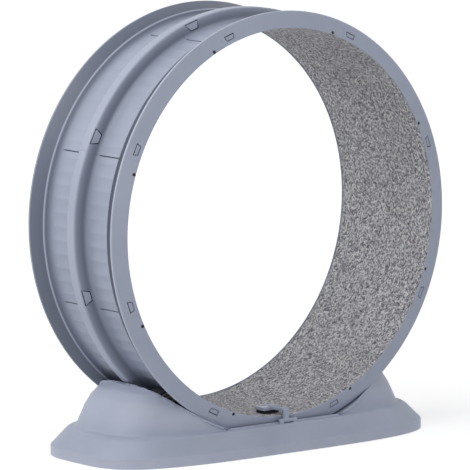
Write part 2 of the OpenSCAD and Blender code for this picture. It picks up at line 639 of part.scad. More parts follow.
rim_segment(0);  // rim_segment_1
rim_segment(1);  // rim_segment_2
rim_segment(2);  // rim_segment_3
rim_segment(3);  // rim_segment_4
rim_segment(4);  // rim_segment_5
rim_segment(5);  // rim_segment_6
rim_segment(6);  // rim_segment_7
rim_segment(7);  // rim_segment_8
rib_splices();
front_flange_splices();
rear_flange_splices();
rib_keys();
front_flange_keys();
rear_flange_keys();
rim_pins();
carpet_tread();
base_shell();
bottom_plate();
rubber_feet();
base_screws();
roller_bracket(-1, -1);  // front_left_bracket
roller_bracket(1, -1);  // front_right_bracket
roller_bracket(-1, 1);  // rear_left_bracket
roller_bracket(1, 1);  // rear_right_bracket
bracket_screws();
roller_axles();
axle_clips();
axle_washers();
roller_tyre(-1, -1);  // front_left_tyre
roller_hub(-1, -1);  // front_left_hub
roller_bearings(-1, -1);  // front_left_bearings
roller_tyre(1, -1);  // front_right_tyre
roller_hub(1, -1);  // front_right_hub
roller_bearings(1, -1);  // front_right_bearings
roller_tyre(-1, 1);  // rear_left_tyre
roller_hub(-1, 1);  // rear_left_hub
roller_bearings(-1, 1);  // rear_left_bearings
roller_tyre(1, 1);  // rear_right_tyre
roller_hub(1, 1);  // rear_right_hub
roller_bearings(1, 1);  // rear_right_bearings
lever_ears();
lever_pin();
stop_lever();
brake_pad();
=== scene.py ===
import math
import bmesh
import bpy
import numpy as np
from mathutils import Matrix, Vector
from mathutils.geometry import tessellate_polygon


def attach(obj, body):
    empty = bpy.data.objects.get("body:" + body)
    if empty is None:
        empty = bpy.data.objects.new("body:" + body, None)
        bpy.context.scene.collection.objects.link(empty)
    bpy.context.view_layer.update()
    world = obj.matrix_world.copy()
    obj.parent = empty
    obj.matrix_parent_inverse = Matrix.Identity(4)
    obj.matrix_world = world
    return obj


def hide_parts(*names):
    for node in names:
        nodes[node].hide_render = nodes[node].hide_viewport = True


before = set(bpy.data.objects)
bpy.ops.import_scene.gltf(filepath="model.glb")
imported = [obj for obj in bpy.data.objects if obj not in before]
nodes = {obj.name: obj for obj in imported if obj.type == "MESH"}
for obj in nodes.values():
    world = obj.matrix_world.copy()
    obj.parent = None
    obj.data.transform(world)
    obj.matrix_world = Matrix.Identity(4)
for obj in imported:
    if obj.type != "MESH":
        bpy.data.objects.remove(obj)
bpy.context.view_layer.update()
print("frame loaded,", len(nodes), "nodes")

# Camera and light

view = dict(azimuth=38.34, elevation=7.95, distance=12.245, target=(-0.010, 0, 0.4965), lens=394.3, sensor=36,
            clip=(0.1, 100))
scene = bpy.context.scene
scene.view_settings.view_transform = "Standard"


def addObject(name, data):
    thing = bpy.data.objects.new(name, data)
    scene.collection.objects.link(thing)
    return thing


def fromView(azimuth, elevation):  # direction from the object to a place round it, in degrees left of the front
    a, e = math.radians(azimuth), math.radians(elevation)
    return Vector((-math.sin(a) * math.cos(e), -math.cos(a) * math.cos(e), math.sin(e)))


camera = addObject("camera", bpy.data.cameras.new("camera"))
toCamera = fromView(view["azimuth"], view["elevation"])
camera.location = Vector(view["target"]) + toCamera * view["distance"]
camera.rotation_mode = "QUATERNION"
camera.rotation_quaternion = (-toCamera).to_track_quat("-Z", "Y")
camera.data.lens, camera.data.sensor_width = view["lens"], view["sensor"]
camera.data.clip_start, camera.data.clip_end = view["clip"]
scene.camera = camera

light = dict(
    world=0.28,                                        # strength of the even light all round
    aim=0.5,                                           # height that the lamps look at, in metres
    lamps=[                                            # place round the object, distance, size, strength, colour
        ("left", 112, 40, 4.0, 3.2, 50, (1.0, 1.0, 1.0)),
        ("key", 62, 48, 4.0, 3.2, 48, (1.0, 0.99, 0.98)),
        ("front", 0, 3, 6.0, 1.5, 28, (0.97, 0.98, 1.0)),
        ("right", -70, 30, 5.0, 3.0, 24, (1.0, 1.0, 1.0))])


def setLights(settings):
    for name, azimuth, elevation, away, size, power, colour in settings["lamps"]:
        data = bpy.data.lights.new(name, "AREA")
        data.shape, data.size, data.energy, data.color = "DISK", size, power, colour
        lamp = addObject(name, data)
        direction = fromView(azimuth, elevation)
        lamp.location = Vector((0, 0, settings["aim"])) + direction * away
        lamp.rotation_mode = "QUATERNION"
        lamp.rotation_quaternion = (-direction).to_track_quat("-Z", "Y")


setLights(light)

# Materials


def addNode(tree, kind, values=None, **settings):
    node = tree.nodes.new(kind)
    for key, value in settings.items():
        setattr(node, key, value)
    for key, value in (values or {}).items():
        if hasattr(value, "is_linked"):
            tree.links.new(value, node.inputs[key])
        else:
            node.inputs[key].default_value = value
    return node


def backgroundRays(tree):  # 1 for what the camera, a gloss or a clear material sees straight away
    rays = addNode(tree, "ShaderNodeLightPath")
    seen = addNode(tree, "ShaderNodeMath", {0: rays.outputs["Is Camera Ray"], 1: rays.outputs["Is Glossy Ray"]},
                   operation="MAXIMUM")
    return addNode(tree, "ShaderNodeMath", {0: seen.outputs[0], 1: rays.outputs["Is Transmission Ray"]},
                   operation="MAXIMUM").outputs[0]


def setWorld(strength):
    world = bpy.data.worlds.new("studio")
    scene.world = world
    world.use_nodes = True
    tree = world.node_tree
    tree.nodes.clear()
    even = addNode(tree, "ShaderNodeBackground", {"Color": (0.97, 0.98, 1, 1), "Strength": strength})
    white = addNode(tree, "ShaderNodeBackground", {"Color": (1, 1, 1, 1), "Strength": 1})
    mix = addNode(tree, "ShaderNodeMixShader",
                  {0: backgroundRays(tree), 1: even.outputs[0], 2: white.outputs[0]})
    addNode(tree, "ShaderNodeOutputWorld", {"Surface": mix.outputs[0]})


setWorld(light["world"])


def newMaterial(name):
    material = bpy.data.materials.new(name)
    material.use_nodes = True
    material.node_tree.nodes.clear()
    return material, material.node_tree


def objectPoints(tree, scale=1.0, stretch=(1, 1, 1)):
    place = addNode(tree, "ShaderNodeTexCoord").outputs["Object"]
    mapping = addNode(tree, "ShaderNodeMapping", {"Vector": place, "Scale": tuple(scale * s for s in stretch)})
    return mapping.outputs[0]


def noise(tree, points, scale, detail=2.0, rough=0.5):
    return addNode(tree, "ShaderNodeTexNoise",
                   {"Vector": points, "Scale": scale, "Detail": detail, "Roughness": rough}).outputs["Fac"]


def between(tree, value, low, high, fromLow=0.3, fromHigh=0.7):  # a value carried from one range to another
    return addNode(tree, "ShaderNodeMapRange", {"Value": value, "From Min": fromLow, "From Max": fromHigh,
                                                "To Min": low, "To Max": high}).outputs[0]


def mixColours(tree, share, first, second):
    mix = addNode(tree, "ShaderNodeMix", data_type="RGBA")
    for socket, value in ((0, share), (6, first), (7, second)):
        if hasattr(value, "is_linked"):
            tree.links.new(value, mix.inputs[socket])
        else:
            mix.inputs[socket].default_value = value if socket == 0 else (*value, 1)
    return mix.outputs[2]


def linear(colour):  # screen colour, 0 to 255, to the light that it stands for
    return tuple(((c / 255 + 0.055) / 1.055) ** 2.4 for c in colour)


# Moulded plastic: faint clouding of the colour, a fine eroded grain, slow waves of the wall
def plasticFinish(name, colour, roughness=0.42, grain=0.25, clouding=0.05, shade=None):
    material, tree = newMaterial(name)
    base = linear(colour)
    points = objectPoints(tree)
    cloud = noise(tree, points, 9, 3)
    fleck = noise(tree, points, 900, 1)
    tint = between(tree, cloud, 1 - clouding, 1 + clouding)
    tone = addNode(tree, "ShaderNodeVectorMath", {0: base, 3: tint}, operation="SCALE").outputs[0]
    if shade:  # painted shade and light from an attribute: 0 is the plain tone, -1 a painted highlight, 1 the painted shade of a channel wall, 2 the deepest painted shadow
        paintedShade = addNode(tree, "ShaderNodeAttribute", attribute_name=shade["attribute"]).outputs["Fac"]
        for colour, sign, past in ((shade["light"], -1, 0), (shade["wall"], 1, 0), (shade["deep"], 1, -1)):
            share = addNode(tree, "ShaderNodeMath", {0: paintedShade, 1: sign, 2: past}, operation="MULTIPLY_ADD")
            tone = mixColours(tree, share.outputs[0], tone, linear(colour))
    rough = between(tree, noise(tree, points, 60, 2), roughness - 0.05, roughness + 0.05)
    wave = addNode(tree, "ShaderNodeBump", {"Height": noise(tree, points, 14, 1), "Strength": 0.12,
                                            "Distance": 0.004})
    bump = addNode(tree, "ShaderNodeBump", {"Height": fleck, "Strength": grain, "Distance": 0.0002,
                                            "Normal": wave.outputs[0]})
    shader = addNode(tree, "ShaderNodeBsdfPrincipled", {"Base Color": tone, "Roughness": rough,
                                                        "Normal": bump.outputs[0], "IOR": 1.46,
                                                        "Specular IOR Level": 0.4})
    addNode(tree, "ShaderNodeOutputMaterial", {"Surface": shader.outputs[0]})
    return material


# Rubber: dark, matt, with a dusty bloom and a fine pebble
def rubberFinish(name, colour, roughness=0.75):
    material, tree = newMaterial(name)
    points = objectPoints(tree)
    dust = between(tree, noise(tree, points, 45, 4, 0.6), 0, 0.35)
    tone = mixColours(tree, dust, linear(colour), linear([min(255, c + 34) for c in colour]))
    bump = addNode(tree, "ShaderNodeBump", {"Height": noise(tree, points, 1400, 2), "Strength": 0.35,
                                            "Distance": 0.0004})
    rough = between(tree, noise(tree, points, 70, 2), roughness - 0.08, roughness + 0.08)
    shader = addNode(tree, "ShaderNodeBsdfPrincipled", {"Base Color": tone, "Roughness": rough,
                                                        "Normal": bump.outputs[0], "Specular IOR Level": 0.3})
    addNode(tree, "ShaderNodeOutputMaterial", {"Surface": shader.outputs[0]})
    return material


# Steel: turned or drawn lines along one way, a little uneven plating
def steelFinish(name, colour, roughness=0.32, metallic=1.0, stretch=(1, 60, 1)):
    material, tree = newMaterial(name)
    streak = noise(tree, objectPoints(tree, 1, stretch), 55, 3, 0.6)
    patch = noise(tree, objectPoints(tree), 80, 3)
    tone = mixColours(tree, between(tree, patch, 0, 0.3), linear(colour), linear([c * 0.72 for c in colour]))
    rough = between(tree, streak, roughness - 0.1, roughness + 0.12)
    bump = addNode(tree, "ShaderNodeBump", {"Height": streak, "Strength": 0.15, "Distance": 0.0002})
    shader = addNode(tree, "ShaderNodeBsdfPrincipled", {"Base Color": tone, "Roughness": rough,
                                                        "Metallic": metallic, "Normal": bump.outputs[0]})
    addNode(tree, "ShaderNodeOutputMaterial", {"Surface": shader.outputs[0]})
    return material


# Carpet: tufts in four tones, laid out by the carpet's own metres along and across the rim
def carpetFinish(name, look):
    material, tree = newMaterial(name)
    place = addNode(tree, "ShaderNodeUVMap", uv_map=look["uv"]).outputs[0]
    warp = addNode(tree, "ShaderNodeTexNoise", {"Vector": place, "Scale": 260, "Detail": 2})
    shifted = addNode(tree, "ShaderNodeVectorMath", {0: warp.outputs["Color"], 1: (0.5, 0.5, 0.5)},
                      operation="SUBTRACT").outputs[0]
    bent = addNode(tree, "ShaderNodeVectorMath", {0: shifted, 1: (look["warp"],) * 3, 2: place},
                   operation="MULTIPLY_ADD").outputs[0]
    tuft = addNode(tree, "ShaderNodeTexVoronoi", {"Vector": bent, "Scale": 1 / look["tuft"]},
                   voronoi_dimensions="2D")
    fibre = noise(tree, bent, 1 / look["fibre"], 3, 0.7)
    clump = noise(tree, place, 1 / look["clump"], 3, 0.65)
    pick = addNode(tree, "ShaderNodeSeparateColor", {0: tuft.outputs["Color"]}).outputs[0]
    level = addNode(tree, "ShaderNodeMath", {0: fibre, 1: 0.55, 2: pick}, operation="MULTIPLY_ADD").outputs[0]
    level = addNode(tree, "ShaderNodeMath", {0: clump, 1: 1.1, 2: level}, operation="MULTIPLY_ADD").outputs[0]
    ramp = addNode(tree, "ShaderNodeValToRGB", {"Fac": between(tree, level, 0, 1, 0.35, 1.75)})
    stops = ramp.color_ramp.elements
    while len(stops) < len(look["tones"]):
        stops.new(0.5)
    for stop, (at, colour) in zip(stops, look["tones"]):
        stop.position, stop.color = at, (*linear(colour), 1)
    warm = between(tree, noise(tree, place, 5, 2), 0, 0.14)
    tone = mixColours(tree, warm, ramp.outputs[0], linear(look["beige"]))
    depth = addNode(tree, "ShaderNodeMath", {0: tuft.outputs["Distance"], 1: -1.2, 2: level},
                    operation="MULTIPLY_ADD").outputs[0]
    bump = addNode(tree, "ShaderNodeBump", {"Height": depth, "Strength": 0.9, "Distance": 0.0016})
    shader = addNode(tree, "ShaderNodeBsdfPrincipled", {"Base Color": tone, "Roughness": 0.95,
                                                        "Normal": bump.outputs[0], "Specular IOR Level": 0.1,
                                                        "Sheen Weight": 0.25, "Sheen Roughness": 0.5})
    addNode(tree, "ShaderNodeOutputMaterial", {"Surface": shader.outputs[0]})
    return material


plasticColour = (172, 180, 199)
# colours of the painted highlight, the painted shade of the channel walls and the deepest painted shadow
shades = dict(attribute="wallShade", light=(214, 219, 236), wall=(112, 119, 137), deep=(66, 72, 88))
finishes = dict(
    rim=plasticFinish("rimPlastic", plasticColour, shade=shades),
    key=plasticFinish("keyPlastic", (168, 176, 195)),
    # the splices are real parts; their dark colour is painted shade for the gaps round the keys, where they show
    splice=plasticFinish("splicePlastic", (48, 52, 62)),
    pin=plasticFinish("pinPlastic", (14, 15, 18), 0.5),
    base=plasticFinish("basePlastic", plasticColour, 0.45, shade=shades),
    plate=plasticFinish("platePlastic", (78, 82, 92), 0.5, 0.4),
    lever=plasticFinish("leverPlastic", (170, 179, 198), 0.36),
    hub=plasticFinish("hubNylon", (222, 220, 212), 0.35, 0.1),
    tyre=rubberFinish("rollerRubber", (58, 60, 64), 0.6),
    foot=rubberFinish("footRubber", (38, 38, 41)),
    brake=rubberFinish("brakeRubber", (22, 22, 25)),
    axle=steelFinish("axleSteel", (205, 207, 211)),
    zinc=steelFinish("zincSteel", (186, 189, 194), 0.38, stretch=(1, 1, 1)),
    bearing=steelFinish("bearingSteel", (196, 198, 203), 0.25, stretch=(1, 1, 1)),
    bracket=steelFinish("bracketPaint", (58, 61, 69), 0.5, 0.0, (1, 1, 1)),
    carpet=carpetFinish("carpetPile", dict(
        uv="along", tuft=0.0033, fibre=0.0017, clump=0.011, warp=0.0016, beige=(158, 153, 148),
        tones=[(0.0, (26, 26, 30)), (0.34, (102, 101, 109)), (0.62, (180, 179, 189)), (1.0, (255, 254, 255))])))
print("materials made")

# Shapes from numpy

mm = 0.001


def gridFaces(rows, cols, wrapRows=False, wrapCols=False, first=0):
    # quads between neighbouring rows and columns of a grid whose points are numbered row by row
    i = np.arange(rows if wrapRows else rows - 1)[:, None]
    j = np.arange(cols if wrapCols else cols - 1)[None, :]
    k, l = (i + 1) % rows, (j + 1) % cols
    return np.stack([i * cols + j, i * cols + l, k * cols + l, k * cols + j], -1).reshape(-1, 4) + first


def meshFrom(name, points, faces, sharp=35, merge=0.0):
    # points in millimetres; faces are arrays of equal polygons or lists of corners
    flat = [np.ravel(f) for f in faces]
    sizes = np.concatenate([np.full(len(f), f.shape[1]) if isinstance(f, np.ndarray) else [len(f)] for f in faces])
    starts = np.concatenate([[0], np.cumsum(sizes)[:-1]])
    corners = np.concatenate(flat).astype(np.int32)
    mesh = bpy.data.meshes.new(name)
    mesh.vertices.add(len(points))
    mesh.vertices.foreach_set("co", (np.asarray(points) * mm).astype(np.float32).ravel())
    mesh.loops.add(len(corners))
    mesh.loops.foreach_set("vertex_index", corners)
    mesh.polygons.add(len(sizes))
    mesh.polygons.foreach_set("loop_start", starts.astype(np.int32))
    mesh.update(calc_edges=True)
    mesh.validate()
    tidyMesh(mesh, merge, sharp)
    return mesh


def tidyMesh(mesh, merge=0.0, sharp=35):  # welds doubles, turns the faces outwards, shades smooth up to an angle
    shape = bmesh.new()
    shape.from_mesh(mesh)
    if merge:
        bmesh.ops.remove_doubles(shape, verts=shape.verts, dist=merge * mm)
        bmesh.ops.dissolve_degenerate(shape, dist=merge * mm, edges=shape.edges)
    bmesh.ops.recalc_face_normals(shape, faces=shape.faces)
    shape.to_mesh(mesh)
    shape.free()
    mesh.polygons.foreach_set("use_smooth", np.ones(len(mesh.polygons), bool))
    mesh.set_sharp_from_angle(angle=math.radians(sharp))


def addPiece(name, mesh, finish, body, replaces=()):
    piece = addObject(name, mesh)
    mesh.materials.clear()
    mesh.materials.append(finishes[finish])
    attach(piece, body)
    if replaces:
        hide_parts(*replaces)
    return piece


def applied(piece, sharp=35):  # the piece's mesh with its modifiers worked into it
    graph = bpy.context.evaluated_depsgraph_get()
    mesh = bpy.data.meshes.new_from_object(piece.evaluated_get(graph), depsgraph=graph)
    piece.modifiers.clear()
    old = piece.data
    piece.data = mesh
    bpy.data.meshes.remove(old)
    mesh.polygons.foreach_set("use_smooth", np.ones(len(mesh.polygons), bool))
    mesh.set_sharp_from_angle(angle=math.radians(sharp))
    return mesh


def addBevel(piece, width, segments=2, angle=35):
    bevel = piece.modifiers.new("edges", "BEVEL")
    bevel.width, bevel.segments, bevel.limit_method = width * mm, segments, "ANGLE"
    bevel.angle_limit, bevel.use_clamp_overlap = math.radians(angle), True
    bevel.miter_outer = "MITER_ARC"
    return bevel


def roundCorners(points, radii, steps=4, closed=True):
    # each corner becomes an arc that touches its two sides: from the corner the arc's centre lies on the
    # bisector, and the arc's points turn evenly from one touching point to the other
    p, r = np.asarray(points, float), np.asarray(radii, float)
    a, c = np.roll(p, 1, 0), np.roll(p, -1, 0)
    la, lc = np.linalg.norm(a - p, axis=1), np.linalg.norm(c - p, axis=1)
    if not closed:
        la[0], lc[-1] = lc[0], la[-1]
    u, v = (a - p) / la[:, None], (c - p) / lc[:, None]
    half = np.arccos(np.clip((u * v).sum(1), -1, 1)) / 2
    reach = np.minimum(r / np.tan(half), 0.49 * np.minimum(la, lc))
    size = reach * np.tan(half)
    middle = p + (u + v) / np.linalg.norm(u + v, axis=1)[:, None] * (reach / np.cos(half))[:, None]
    start, end = p + u * reach[:, None] - middle, p + v * reach[:, None] - middle
    turn = math.pi - 2 * half
    t = np.linspace(0, 1, steps + 1)[None, :, None]
    w = turn[:, None, None]
    arcs = middle[:, None] + (np.sin((1 - t) * w) * start[:, None] + np.sin(t * w) * end[:, None]) / np.sin(w)
    arcs = np.where(size[:, None, None] > 1e-9, arcs, p[:, None])
    if closed:
        return arcs.reshape(-1, p.shape[1])
    return np.concatenate([p[:1], arcs[1:-1].reshape(-1, p.shape[1]), p[-1:]])


def refine(points, spacing, closed=True):  # extra points along long sides
    p = np.asarray(points, float)
    q = np.roll(p, -1, 0)
    if not closed:
        p, q = p[:-1], q[:-1]
    counts = np.maximum(1, np.ceil(np.linalg.norm(q - p, axis=1) / spacing)).astype(int)
    share = np.concatenate([np.arange(n) / n for n in counts])[:, None]
    out = np.repeat(p, counts, 0) * (1 - share) + np.repeat(q, counts, 0) * share
    return out if closed else np.concatenate([out, points[-1:]])


def smoothStep(x, low, high):
    t = np.clip((np.asarray(x, float) - low) / (high - low), 0, 1)
    return t * t * (3 - 2 * t)


# Rim segments

axisZ = 543.0
rim = dict(
    rib=(498, 15, 27.5), floor=(470, 111.75), bend=(483.6, 123.25), crest=(500, 157.25, 161.75),
    face=(460, 171.75), lip=3, inside=464, skin=3.5,             # the section, in millimetres
    round=dict(rib=8.5, foot=14, bend=2, crest=1.5, small=0.6),
    seams=22.5, count=8, gap=0.15, groove=1.1, grooveDepth=2.5,
    flute=dict(first=3.0, every=4.0, ridge=0.35, valley=1.25),     # shallow hollows of each channel floor, in degrees
    flangeKey=dict(past=25.3, up=15, size=(30.5, 23, 13.2)), ribKey=dict(past=37.3, size=(41, 24, 20.4)),
    keyGap=2.3, keyRound=0.8, keyEdge=0.5, keyBelow=0.05, through=(0.3, 3),        # a window is cut past both faces
    pin=dict(before=30.7, at=464.8, radius=4.1, depth=2.5, head=(3.95, -2.2, 0.25)))


def rimOutline(s):
    # one half of the section from the middle of the rib out, as distance from the axis and from the middle
    r = s["round"]
    half = [(s["rib"][0], s["rib"][1], r["rib"]), (s["floor"][0], s["rib"][2], r["foot"]),
            (s["floor"][0], s["floor"][1], r["foot"]), (s["bend"][0], s["bend"][1], r["bend"]),
            (s["crest"][0], s["crest"][1], r["crest"]), (s["crest"][0], s["crest"][2], r["crest"]),
            (s["face"][0], s["face"][1], r["small"]), (s["face"][0], s["face"][1] - s["lip"], r["small"]),
            (s["inside"], s["face"][1] - s["lip"], 0.2)]
    half = np.array(half, float)
    other = half[::-1] * np.array([1, -1, 1])
    both = np.concatenate([half, other])
    line = roundCorners(both[:, :2], both[:, 2], 5)
    nearBend = np.hypot(line[:, 0] - s["bend"][0], np.abs(line[:, 1]) - s["bend"][1]) < 2.5
    return refine(line, np.where(nearBend | np.roll(nearBend, -1), 1.4, 5.0))


def slopes(s):  # how far each wall runs sideways for each millimetre of its height
    return dict(flank=(s["rib"][2] - s["rib"][1]) / (s["rib"][0] - s["floor"][0]),
                low=(s["bend"][1] - s["floor"][1]) / (s["bend"][0] - s["floor"][0]),
                wall=(s["crest"][1] - s["bend"][1]) / (s["crest"][0] - s["bend"][0]),
                face=(s["face"][1] - s["crest"][2]) / (s["crest"][0] - s["face"][0]))


def hollows(s):
    # the spaces in the rib and the two flanges, a skin's thickness inside the outline
    t, slope = s["skin"], slopes(s)
    slant = {name: t * math.hypot(1, k) for name, k in slope.items()}
    flank = lambda x: s["rib"][1] + (s["rib"][0] - x) * slope["flank"] - slant["flank"]
    low = lambda x: s["floor"][1] + (x - s["floor"][0]) * slope["low"] + slant["low"]
    wall = lambda x: s["bend"][1] + (x - s["bend"][0]) * slope["wall"] + slant["wall"]
    face = lambda x: s["face"][1] - (x - s["face"][0]) * slope["face"] - slant["face"]
    a, b = s["rib"][0] - t, s["inside"] + t
    rib = np.array([(a, -flank(a)), (a, flank(a)), (b, flank(b)), (b, -flank(b))])
    a, c = s["inside"] + 2 * t, s["crest"][0] - 2 * t
    b = s["bend"][0] - (slant["wall"] - slant["low"]) / (slope["wall"] - slope["low"])
    flange = np.array([(a, low(a)), (b, wall(b)), (c, wall(c)), (c, face(c)), (a, face(a))])
    return [rib, flange, flange[::-1] * np.array([1, -1])]


def aroundAxis(distance, across, angle):
    # a point so far from the axis and towards the front, turned clockwise from the top by an angle in degrees
    a = np.radians(angle)
    return np.stack(np.broadcast_arrays(distance * np.sin(a), -across, axisZ + distance * np.cos(a)), -1)


def floorMask(s, distance, across, past):  # 1 on a channel floor, falling to 0 so far past its flat
    middle = (s["rib"][2] + s["floor"][1]) / 2
    halfFlat = (s["floor"][1] - s["rib"][2]) / 2 - s["round"]["foot"] / 2
    away = np.abs(np.abs(across) - middle)
    return (1 - smoothStep(away, halfFlat + past - 5, halfFlat + past)) * (distance - s["floor"][0] < 5) \
        * (distance > s["floor"][0] - 1)


def segmentMesh(s, start):
    # the section carried round the axis; the channel floors are fluted: between two ridges the floor sinks as a
    # parabola of the angle, and the first and last stretch of each floor lies lower, as the groove along a seam
    sweep, flute = 360 / s["count"], s["flute"]
    toDegrees = 180 / math.pi / s["floor"][0]
    half, g = s["gap"] / 2 * toDegrees, s["groove"] * toDegrees
    inner = flute["first"] + flute["every"] / 10 * np.arange(-200, 200)
    inner = inner[(inner > half + g + 0.05) & (inner < sweep - half - g - 0.05)]
    angles = start + np.concatenate([[half, half + g, half + g + 0.03], inner,
                                     [sweep - half - g - 0.03, sweep - half - g, sweep - half]])
    outline = rimOutline(s)
    share = (angles - start - flute["first"]) / flute["every"] % 1
    wave = flute["ridge"] - (flute["ridge"] + flute["valley"]) * 4 * share * (1 - share)
    ends = np.isin(np.arange(len(angles)), [0, 1, len(angles) - 2, len(angles) - 1])
    fluted, grooved = (floorMask(s, outline[:, 0], outline[:, 1], past) for past in (0, 5))
    distance = outline[None, :, 0] + np.where(ends[:, None], -s["grooveDepth"] * grooved, wave[:, None] * fluted)
    loops = [(distance, outline)] + [(np.repeat(h[None, :, 0], len(angles), 0), h) for h in hollows(s)]
    points, faces, count = [], [], 0
    for far, loop in loops:
        points.append(aroundAxis(far, loop[None, :, 1], angles[:, None]).reshape(-1, 3))
        faces.append(gridFaces(len(angles), len(loop), wrapCols=True, first=count))
        count += len(points[-1])
    # end caps: the outline with its hollows filled in flat triangles
    for row in (0, len(angles) - 1):
        rings = [[Vector((d, y, 0)) for d, y in zip(far[row], loop[:, 1])] for far, loop in loops]
        index = np.concatenate([np.arange(len(loop)) + row * len(loop) + at for (far, loop), at in
                                zip(loops, np.cumsum([0] + [len(angles) * len(l) for f, l in loops])[:-1])])
        faces.append(index[np.array(tessellate_polygon(rings))])
    return meshFrom("rimSegment", np.concatenate(points), faces)


def onWall(s, angle, distance, across, slope, shape):
    # a drawing in X along the rim, Y outwards up a wall and Z out of it, set on a front wall of the rim
    tilt = math.atan(slope)
    x, y, z = shape[:, 0], shape[:, 1], shape[:, 2]
    up = distance + y * math.cos(tilt) + z * math.sin(tilt)
    front = across - y * math.sin(tilt) + z * math.cos(tilt)
    a = math.radians(angle)
    return np.stack([x * math.cos(a) + up * math.sin(a), -front, axisZ + up * math.cos(a) - x * math.sin(a)], -1)


def keyPlaces(s):
    # angle past a seam, distance, way from the middle and slope of the two kinds of key
    slope = slopes(s)
    flangeAt = s["face"][0] + s["flangeKey"]["up"]
    ribAt = s["rib"][0] - s["skin"] / 2 - s["ribKey"]["size"][2] / 2 / math.hypot(1, slope["flank"])
    return dict(
        flange=(math.degrees(s["flangeKey"]["past"] / flangeAt), flangeAt,
                s["face"][1] - (flangeAt - s["face"][0]) * slope["face"], slope["face"], s["flangeKey"]["size"]),
        rib=(math.degrees(s["ribKey"]["past"] / ribAt), ribAt,
             s["rib"][1] + (s["rib"][0] - ribAt) * slope["flank"], slope["flank"], s["ribKey"]["size"]))


def keystone(sizes, inset):  # long side outwards, short side inwards
    long, short, high = (v / 2 - inset for v in sizes)
    return np.array([(-short, -high), (short, -high), (long, high), (-long, high)])


def slabFaces(rows, cols):  # a stack of rings with a flat face at each end
    return [gridFaces(rows, cols, wrapCols=True), list(range(cols)), list(range((rows - 1) * cols, rows * cols))]


def slab(outline, low, high, edge, topEdge=None, dome=0.0, steps=4):
    # a flat block with rounded edges: its outline shrinks towards its own inside along a quarter circle at the
    # bottom and at the top; a dome lifts the middle of the top as a parabola
    top = edge if topEdge is None else topEdge
    q = np.linspace(0, math.pi / 2, steps + 1)
    insets = np.concatenate([edge * (1 - np.sin(q)), top * (1 - np.cos(q))])
    heights = np.concatenate([low + edge * (1 - np.cos(q)), high - top + top * np.sin(q)])
    p = np.asarray(outline, float)
    ahead, back = np.roll(p, -1, 0) - p, p - np.roll(p, 1, 0)
    ahead, back = (v / np.maximum(np.linalg.norm(v, axis=1), 1e-9)[:, None] for v in (ahead, back))
    normal = np.stack([-(ahead + back)[:, 1], (ahead + back)[:, 0]], -1)
    normal /= np.maximum(np.linalg.norm(normal, axis=1), 1e-9)[:, None]
    area = (p[:, 0] * np.roll(p[:, 1], -1) - np.roll(p[:, 0], -1) * p[:, 1]).sum()
    normal *= np.sign(area)
    rings = p[None] + normal[None] * insets[:, None, None]
    points = np.concatenate([rings, np.broadcast_to(heights[:, None, None], rings.shape[:2] + (1,))], -1)
    return points.reshape(-1, 3), slabFaces(len(insets), len(p))


def disc(radius, sides=40):
    t = np.linspace(0, 2 * math.pi, sides, endpoint=False)
    return np.stack([radius * np.cos(t), radius * np.sin(t)], -1)


def joined(parts):  # several point and face sets as one
    points, faces, count = [], [], 0
    for p, f in parts:
        points.append(p)
        faces += [g + count if isinstance(g, np.ndarray) else [i + count for i in g] for g in f]
        count += len(p)
    return np.concatenate(points), faces


def mirrored(part):
    return part[0] * np.array([1, -1, 1]), part[1]


def turned(mesh, degrees):
    other = mesh.copy()
    centre = Matrix.Translation((0, 0, axisZ * mm))
    other.transform(centre @ Matrix.Rotation(math.radians(degrees), 4, "Y") @ centre.inverted())
    return other


def setShade(mesh, shade):
    attribute = mesh.attributes.new("wallShade", "FLOAT", "POINT")
    attribute.data.foreach_set("value", np.asarray(shade, np.float32))


def pointsOf(mesh):  # places in millimetres and normals
    co, normal = np.zeros(len(mesh.vertices) * 3), np.zeros(len(mesh.vertices) * 3)
    mesh.vertices.foreach_get("co", co)
    mesh.vertex_normals.foreach_get("vector", normal)
    return co.reshape(-1, 3) / mm, normal.reshape(-1, 3)


# painted shade and painted highlights of the rim's channels
paintedShading = dict(
    lead=9,                                                      # a foot's rounding starts so far before its corner
    frontRib=(1, 20), frontEdge=(0.5, 7), rearRib=(0.5, 7), rearEdge=(1.15, 12),   # strength and reach of the painted shade over a floor
    ribTurn=(0.5, 0.985), ribTop=-0.2, flankLight=0.55,          # a rib's painted shade fades towards its top, and its top gets a painted highlight
    frontWall=2.0, rearWall=(1.35, 0.35),                        # painted shadow behind each crest; the rear one fades upwards
    bend=(1.7, -0.3), crest=-0.5, seam=2)                        # painted highlights on the bend and the front crest, and painted shade in the groove along a seam
